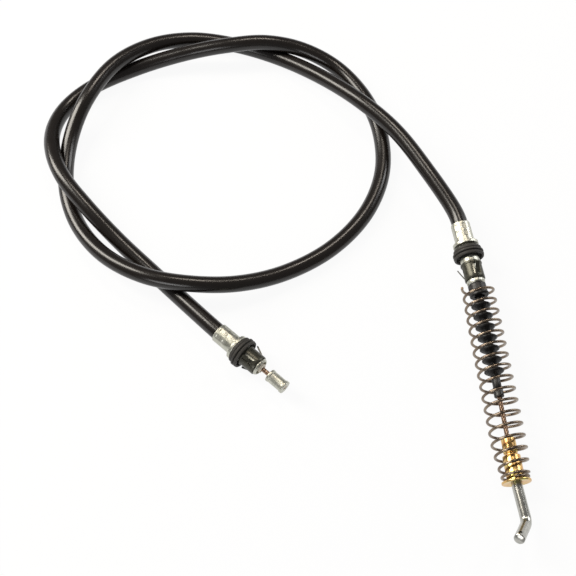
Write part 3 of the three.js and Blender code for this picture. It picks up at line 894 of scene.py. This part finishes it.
def make_seat():
    groove = SEAT_START + SEAT_NECK_LENGTH
    body = groove + SEAT_GROOVE_LENGTH
    flange_end = SEAT_FLANGE_START + SEAT_FLANGE_THICKNESS
    bore = WIRE_RADIUS + WIRE_GAP
    dish = flange_end - SEAT_DISH_DEPTH
    socket = ROD_RADIUS + SEAT_SOCKET_GAP
    socket_start = SEAT_SOCKET_START + GAP
    outline = rounded([
        (bore, SEAT_START),
        (SEAT_NECK_RADIUS - SEAT_BEVEL_DEPTH, SEAT_START),
        (SEAT_NECK_RADIUS, SEAT_START + SEAT_BEVEL_LENGTH),
        (SEAT_NECK_RADIUS, groove),
        (SEAT_GROOVE_RADIUS, groove + SEAT_GROOVE_SLOPE),
        (SEAT_GROOVE_RADIUS, body - SEAT_GROOVE_SLOPE),
        (SEAT_BODY_RADIUS, body),
        (SEAT_BODY_RADIUS, SEAT_FLANGE_START),
        (SEAT_FLANGE_RADIUS, SEAT_FLANGE_START),
        (SEAT_FLANGE_RADIUS, flange_end),
        (SEAT_FLANGE_RADIUS - SEAT_DISH_MARGIN, flange_end),
        (ROD_RADIUS + SEAT_DISH_MARGIN, dish),
        (socket, dish),
        (socket, socket_start),
        (bore, socket_start),
    ], 0.35)
    mesh = lathe("seat", hook_end, outline)
    return add_object("seat", mesh, yellow_zinc, "spring_seat", "hook_end")


def rod_line(pin):
    """The rod's centreline, straight, leaning, bent and then the pin, with its radius at each point."""
    lean_start = Vector((0, 0, ROD_LEAN_START))
    bend = Vector((ROD_LEAN, 0, ROD_BEND_STATION))
    along = (bend - lean_start).normalized()
    set_back = ROD_BEND_RADIUS * math.tan(along.angle(pin) / 2)
    bend_start = bend - along * set_back
    bend_end = bend + pin * set_back
    tip = bend + pin * PIN_LENGTH
    line = [(Vector((0, 0, ROD_START)), ROD_RADIUS), (lean_start, ROD_RADIUS)]
    for step in range(ROD_BEND_STEPS + 1):
        share = step / ROD_BEND_STEPS
        line.append((bend_start.lerp(bend, share).lerp(bend.lerp(bend_end, share), share), ROD_RADIUS))
    line.append((tip - pin * PIN_BEVEL, ROD_RADIUS))
    line.append((tip - pin * PIN_BEVEL_MIDDLE, ROD_RADIUS - PIN_BEVEL_MIDDLE_DEPTH))
    line.append((tip, ROD_RADIUS - PIN_BEVEL))
    return line


def make_rod():
    pin = (hook_end.to_3x3().inverted() @ Vector(PIN_DIRECTION)).normalized()
    line = rod_line(pin)
    sides = ROD_SIDES
    across = Vector((1, 0, 0)).cross(pin).normalized()
    level = across.cross(pin).normalized()
    vertices = []
    for index, (centre, radius) in enumerate(line):
        before = line[max(0, index - 1)][0]
        after = line[min(len(line) - 1, index + 1)][0]
        along = (after - before).normalized()
        first = (level - along * level.dot(along)).normalized()
        second = along.cross(first)
        for side in range(sides):
            angle = 2 * math.pi * side / sides
            vertices.append(centre + (first * math.cos(angle) + second * math.sin(angle)) * radius)
    vertices = [hook_end @ vertex for vertex in vertices]
    mesh = solid_mesh("rod", vertices, loft_faces(len(line), sides, closed=False))
    rod = add_object("rod", mesh, rod_steel, "hook_rod", None)
    centre = Vector((ROD_LEAN, 0, ROD_BEND_STATION)) + pin * (PIN_LENGTH - CROSS_HOLE_INSET)
    drill(rod, centre, across, level, pin)
    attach(rod, "hook_end")
    return rod


def drill(rod, centre, across, first, second):
    """Cuts the small round cross hole in the pin."""
    sides = CROSS_HOLE_SIDES
    vertices = []
    for end in (-2 * ROD_RADIUS, 2 * ROD_RADIUS):
        for side in range(sides):
            angle = 2 * math.pi * side / sides
            ring = (first * math.cos(angle) + second * math.sin(angle)) * CROSS_HOLE_RADIUS
            vertices.append(hook_end @ (centre + across * end + ring))
    mesh = solid_mesh("drill", vertices, loft_faces(2, sides, closed=False))
    cutter = bpy.data.objects.new("drill", mesh)
    bpy.context.scene.collection.objects.link(cutter)
    cut = rod.modifiers.new("cross_hole", "BOOLEAN")
    cut.object = cutter
    cut.operation = "DIFFERENCE"
    cut.solver = "EXACT"
    bpy.context.view_layer.update()
    view = bpy.context.evaluated_depsgraph_get()
    drilled = bpy.data.meshes.new_from_object(rod.evaluated_get(view))
    rod.modifiers.clear()
    rod.data = drilled
    drilled.polygons.foreach_set("use_smooth", [True] * len(drilled.polygons))
    drilled.set_sharp_from_angle(angle=math.radians(35))
    bpy.data.objects.remove(cutter)


# Stage.

def make_backdrop_material():
    """White to the camera and in reflections, with most of the shadow taken out but not all of it."""
    material = bpy.data.materials.new("backdrop")
    material.use_nodes = True
    nodes = material.node_tree.nodes
    links = material.node_tree.links
    nodes.clear()
    output = nodes.new("ShaderNodeOutputMaterial")
    diffuse = nodes.new("ShaderNodeBsdfDiffuse")
    diffuse.inputs["Color"].default_value = (0.9, 0.9, 0.9, 1)
    glow = nodes.new("ShaderNodeEmission")
    glow.inputs["Strength"].default_value = 1
    rays = nodes.new("ShaderNodeLightPath")
    direct = nodes.new("ShaderNodeMath")
    direct.operation = "MAXIMUM"
    seen = nodes.new("ShaderNodeMath")
    seen.operation = "MAXIMUM"
    share = nodes.new("ShaderNodeMath")
    share.operation = "MULTIPLY"
    share.inputs[1].default_value = BACKDROP_GLOW_SHARE
    blend = nodes.new("ShaderNodeMixShader")
    links.new(rays.outputs["Is Camera Ray"], direct.inputs[0])
    links.new(rays.outputs["Is Glossy Ray"], direct.inputs[1])
    links.new(direct.outputs[0], seen.inputs[0])
    links.new(rays.outputs["Is Transmission Ray"], seen.inputs[1])
    links.new(seen.outputs[0], share.inputs[0])
    links.new(share.outputs[0], blend.inputs["Fac"])
    links.new(diffuse.outputs[0], blend.inputs[1])
    links.new(glow.outputs[0], blend.inputs[2])
    links.new(blend.outputs[0], output.inputs["Surface"])
    return material


def make_floor():
    half = FLOOR_HALF_SIZE
    corners = [(-half, -half), (half, -half), (half, half), (-half, half)]
    mesh = bpy.data.meshes.new("floor")
    mesh.from_pydata([(x, y, FLOOR_HEIGHT) for x, y in corners], [], [(0, 1, 2, 3)])
    mesh.materials.append(make_backdrop_material())
    floor = bpy.data.objects.new("floor", mesh)
    bpy.context.scene.collection.objects.link(floor)


def add_softbox(name, place, target, width, height, power, color=(1, 1, 1)):
    light = bpy.data.lights.new(name, "AREA")
    light.shape = "RECTANGLE"
    light.size = width
    light.size_y = height
    light.energy = power
    light.color = color
    lamp = bpy.data.objects.new(name, light)
    bpy.context.scene.collection.objects.link(lamp)
    lamp.location = place
    lamp.rotation_euler = (Vector(target) - Vector(place)).to_track_quat("-Z", "Y").to_euler()


def make_light():
    world = bpy.data.worlds.new("studio")
    bpy.context.scene.world = world
    world.use_nodes = True
    world.node_tree.nodes["Background"].inputs["Color"].default_value = (0.5, 0.5, 0.5, 1)
    world.node_tree.nodes["Background"].inputs["Strength"].default_value = 0.35
    add_softbox("left_box", (-1.1, 0.5, 1.0), (0, 0, 0), 0.5, 1.2, 26, (1, 0.95, 0.86))
    add_softbox("top_box", (0.1, 0.75, 1.4), (0, 0, 0), 0.5, 0.2, 5, (1, 0.9, 0.78))
    add_softbox("right_box", (1.3, 0.7, 0.7), (0, 0, 0), 0.35, 1.0, 7)
    add_softbox("front_box", (-0.6, -1.4, 0.7), (0, 0, 0), 0.8, 0.5, 6)


def make_camera():
    data = bpy.data.cameras.new("camera")
    data.sensor_width = 36
    data.lens = CAMERA_LENS
    camera = bpy.data.objects.new("camera", data)
    bpy.context.scene.collection.objects.link(camera)
    camera.location = Vector(CAMERA_PLACE) * MM
    camera.rotation_euler = (math.radians(CAMERA_TILT), 0, 0)
    bpy.context.scene.camera = camera


front_collar = FRONT_SEAL_START + SEAL_LENGTH - COLLAR_OVERLAP
front_lip = FRONT_RETAINER_START + FRONT_RETAINER_LENGTH + GAP
rear_collar = REAR_SEAL_START + SEAL_LENGTH - COLLAR_OVERLAP
rear_lip = REAR_RETAINER_START + REAR_RETAINER_LENGTH + GAP

jacket = make_jacket()
make_ferrule(
    "ferrule_front", front, "front_ferrule",
    front_collar, FRONT_RETAINER_START - GAP, front_lip, FRONT_NOSE_END)
make_seal("seal_front", front, "front_seal", FRONT_SEAL_START)
make_retainer(
    "retainer_front", front, "front_retainer",
    FRONT_RETAINER_START, FRONT_RETAINER_LENGTH, FRONT_FIRST_FINGER)
make_liner_tip()
front_wire_end = BUTTON_START + BUTTON_LENGTH - GAP
make_strands("strands_front", front, ENGAGEMENT + 1, front_wire_end, "front_wire", "button_end")
make_button()
rear_ferrule = make_ferrule(
    "ferrule_rear", rear, "rear_ferrule",
    rear_collar, REAR_RETAINER_START - GAP, rear_lip, REAR_NOSE_END)
rear_seal = make_seal("seal_rear", rear, "rear_seal", REAR_SEAL_START)
rear_retainer = make_retainer(
    "retainer_rear", rear, "rear_retainer",
    REAR_RETAINER_START, REAR_RETAINER_LENGTH, REAR_FIRST_FINGER)
cap = make_cap()
make_strands("strands_rear", hook_end, WIRE_START, SEAT_SOCKET_START, "rear_wire", "hook_end")
make_boot()
make_spring()
make_seat()
make_rod()

hidden_finishes = {
    "conduit_armour": spiral_steel,
    "conduit_liner": liner_plastic,
    "inner_wire": wire_steel,
}
for node_name, finish in hidden_finishes.items():
    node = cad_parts[node_name]
    node.data.materials.clear()
    node.data.materials.append(finish)

make_floor()
make_light()
make_camera()

scene = bpy.context.scene
scene.view_settings.view_transform = "Standard"
